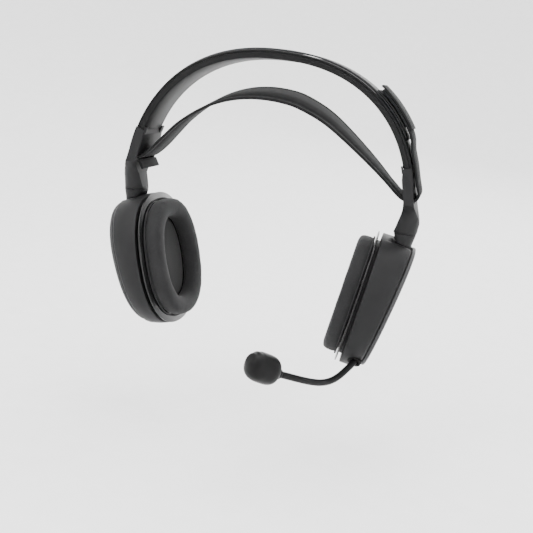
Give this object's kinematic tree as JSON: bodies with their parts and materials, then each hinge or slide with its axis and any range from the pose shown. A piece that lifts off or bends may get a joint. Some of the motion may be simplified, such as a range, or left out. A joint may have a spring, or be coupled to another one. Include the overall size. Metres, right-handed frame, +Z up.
{
  "type": "headset microphone",
  "caption": "Over-ear headset with an elastic suspension strap, swivelling and tilting ear cups, and a bending boom microphone on the left cup.",
  "frame": {"origin": "crown point, under the middle of the suspension strap, where the wearer's head carries the headset", "axes": "+Z up, the wearer faces -Y, +X is the wearer's left, the side that carries the microphone"},
  "size_m": [0.2109, 0.1414, 0.2067],
  "materials": {
    "arch_metal": "satin black coat",
    "arch_skin": "matte grey",
    "graphite_plastic": "satin graphite",
    "black_plastic": "matte black",
    "gloss_flange": "gloss black",
    "speaker_plate": "fine textured grey",
    "strap_fabric": "woven elastic",
    "hook_patch": "hook-and-loop pile",
    "cushion_cover": "soft knitted cover",
    "ear_cloth": "thin open cloth",
    "membrane": "thin film",
    "steel": "bright",
    "black_rubber": "matte",
    "circuit_board": "board lacquer",
    "battery_foil": "foil wrap",
    "boom_sleeve": "smooth sleeve",
    "windscreen_foam": "soft moulded cover"
  },
  "bodies": {
    "headband": {"arch_channel": "arch_metal", "arch_spring_strip": "steel", "arch_outer_skin": "arch_skin", "hanger_left": "graphite_plastic", "hanger_right": "graphite_plastic", "suspension_strap": "strap_fabric", "hook_patch_left": "hook_patch", "strap_tab_left": "strap_fabric", "strap_hem_right": "strap_fabric", "strap_anchor_right": "black_plastic"},
    "yoke_left": {"swivel_yoke_left": "graphite_plastic", "swivel_pin_left": "steel"},
    "yoke_right": {"swivel_yoke_right": "graphite_plastic", "swivel_pin_right": "steel"},
    "cup_left": {"tilt_pin_left": "steel", "cup_shell_left": "graphite_plastic", "speaker_plate_left": "speaker_plate", "baffle_left": "black_plastic", "driver_basket_left": "black_plastic", "driver_magnet_left": "steel", "driver_diaphragm_left": "membrane", "cushion_flange_left": "gloss_flange", "ear_cushion_left": "cushion_cover", "ear_cloth_left": "ear_cloth", "circuit_board": "circuit_board", "usb_socket": "steel", "audio_socket": "steel", "boom_bush": "black_rubber", "boom_root": "boom_sleeve"},
    "cup_right": {"tilt_pin_right": "steel", "cup_shell_right": "graphite_plastic", "speaker_plate_right": "speaker_plate", "baffle_right": "black_plastic", "driver_basket_right": "black_plastic", "driver_magnet_right": "steel", "driver_diaphragm_right": "membrane", "cushion_flange_right": "gloss_flange", "ear_cushion_right": "cushion_cover", "ear_cloth_right": "ear_cloth", "battery": "battery_foil"},
    "volume_wheel": {"volume_wheel": "black_rubber"},
    "mute_button": {"mute_button": "black_rubber"},
    "power_button": {"power_button": "black_rubber"},
    "balance_wheel": {"balance_wheel": "black_rubber"},
    "boom_1": {"boom_segment_1": "boom_sleeve"},
    "boom_2": {"boom_segment_2": "boom_sleeve"},
    "boom_3": {"boom_segment_3": "boom_sleeve"},
    "boom_4": {"boom_segment_4": "boom_sleeve"},
    "boom_5": {"boom_segment_5": "boom_sleeve", "mic_neck": "black_plastic", "mic_housing": "black_plastic", "mic_capsule": "steel", "windscreen": "windscreen_foam"}
  },
  "joints": [
    {"name": "swivel_left", "type": "hinge", "parent": "headband", "child": "yoke_left", "pos_m": [0.0975, -0.0025, -0.0868], "axis": [0, 0, 1], "range_deg": [-93.9, 6.1]},
    {"name": "swivel_right", "type": "hinge", "parent": "headband", "child": "yoke_right", "pos_m": [-0.0975, -0.0025, -0.0868], "axis": [0, 0, 1], "range_deg": [-1.7, 98.3]},
    {"name": "tilt_left", "type": "hinge", "parent": "yoke_left", "child": "cup_left", "pos_m": [0.0975, -0.0025, -0.0868], "axis": [-0.068, 0.9977, 0], "range_deg": [-14.9, 10.1]},
    {"name": "tilt_right", "type": "hinge", "parent": "yoke_right", "child": "cup_right", "pos_m": [-0.0975, -0.0025, -0.0868], "axis": [0.1444, 0.9895, 0], "range_deg": [-3.1, 21.9]},
    {"name": "volume_turn", "type": "hinge", "parent": "cup_left", "child": "volume_wheel", "pos_m": [0.08106, 0.02934, -0.1256], "axis": [0.9828, 0.067, -0.1719], "range_deg": [-150, 150]},
    {"name": "balance_turn", "type": "hinge", "parent": "cup_right", "child": "balance_wheel", "pos_m": [-0.07409, 0.02732, -0.12358], "axis": [-0.9468, 0.1381, -0.2907], "range_deg": [-150, 150]},
    {"name": "mute_press", "type": "slide", "parent": "cup_left", "child": "mute_button", "axis": [0.068, -0.9977, 0], "range_m": [0, 0.0008], "stiffness_N_per_m": 250, "springref_m": -0.0008},
    {"name": "power_press", "type": "slide", "parent": "cup_left", "child": "power_button", "axis": [0.068, -0.9977, 0], "range_m": [0, 0.0008], "stiffness_N_per_m": 250, "springref_m": -0.0008},
    {"name": "mic_reach", "type": "hinge", "parent": "cup_left", "child": "boom_1", "pos_m": [0.07646, -0.03065, -0.16667], "axis": [0, 0, 1], "range_deg": [-14, 14]},
    {"name": "boom_bend_1", "type": "hinge", "parent": "boom_1", "child": "boom_2", "pos_m": [0.07042, -0.04174, -0.1722], "axis": [-0.8676, 0.4972, 0], "range_deg": [-10, 11]},
    {"name": "boom_bend_2", "type": "hinge", "parent": "boom_2", "child": "boom_3", "pos_m": [0.0636, -0.05358, -0.17341], "axis": [-0.859, 0.512, 0], "range_deg": [-10, 11]},
    {"name": "boom_bend_3", "type": "hinge", "parent": "boom_3", "child": "boom_4", "pos_m": [0.05613, -0.06485, -0.17077], "axis": [-0.8112, 0.5848, 0], "range_deg": [-10, 11]},
    {"name": "boom_bend_4", "type": "hinge", "parent": "boom_4", "child": "boom_5", "pos_m": [0.04811, -0.07534, -0.16676], "axis": [-0.7643, 0.6449, 0], "range_deg": [-10, 11]}
  ],
  "couplings": [
    {"joint": "boom_bend_2", "follows": "boom_bend_1", "ratio": 1},
    {"joint": "boom_bend_3", "follows": "boom_bend_1", "ratio": 1},
    {"joint": "boom_bend_4", "follows": "boom_bend_1", "ratio": 1}
  ]
}
